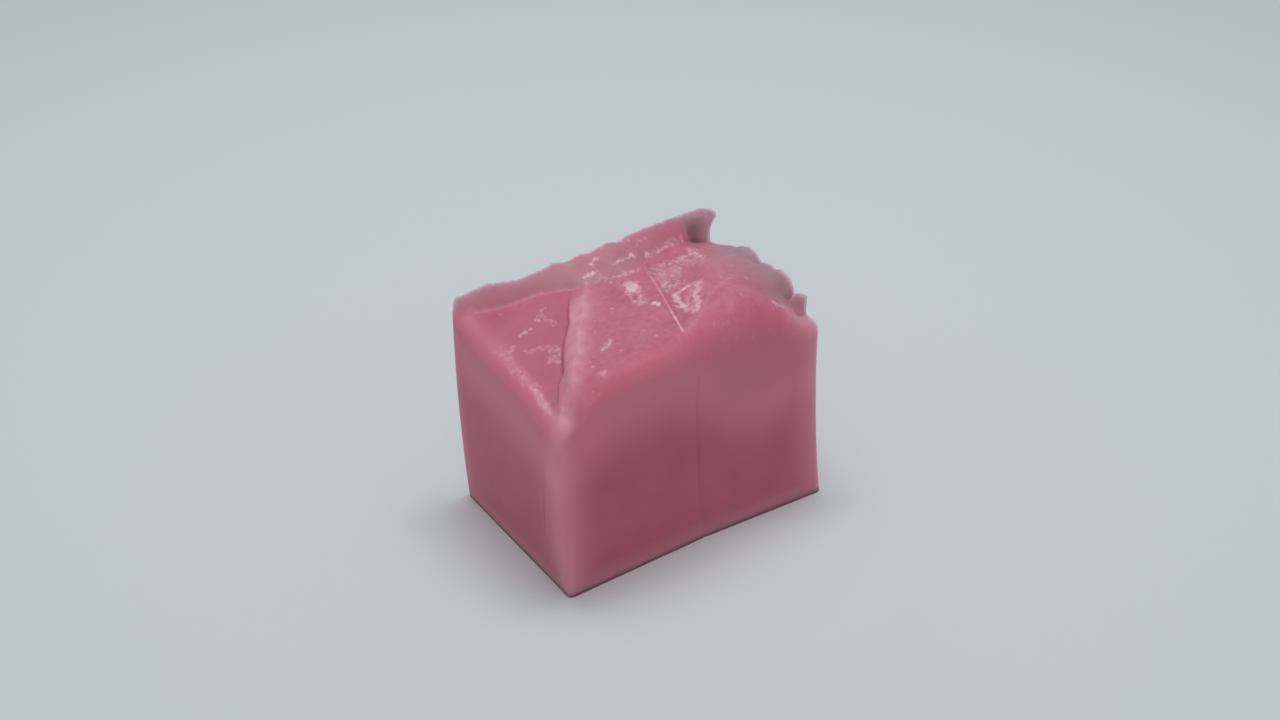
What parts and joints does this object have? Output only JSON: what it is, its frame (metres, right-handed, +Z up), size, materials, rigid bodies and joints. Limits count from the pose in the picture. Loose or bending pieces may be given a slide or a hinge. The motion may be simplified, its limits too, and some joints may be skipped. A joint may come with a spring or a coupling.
{
  "type": "uiro rice cake",
  "caption": "Pink uiro, a steamed rice-flour jelly cake: an upright block with smooth sliced sides and a torn, uneven top with thin ragged lips.",
  "frame": {"origin": "under the middle of the block, on the sliced end that it stands on", "axes": "+X along the broad sliced faces towards the curled flap, +Y from the front broad face to the back one, +Z up towards the torn top"},
  "size_m": [0.053, 0.0334, 0.0395],
  "materials": {
    "pink_jelly": "moist, translucent satin; wetter and rougher on the torn top"
  },
  "bodies": {
    "root": {"uiro_block": "pink_jelly"}
  },
  "joints": []
}
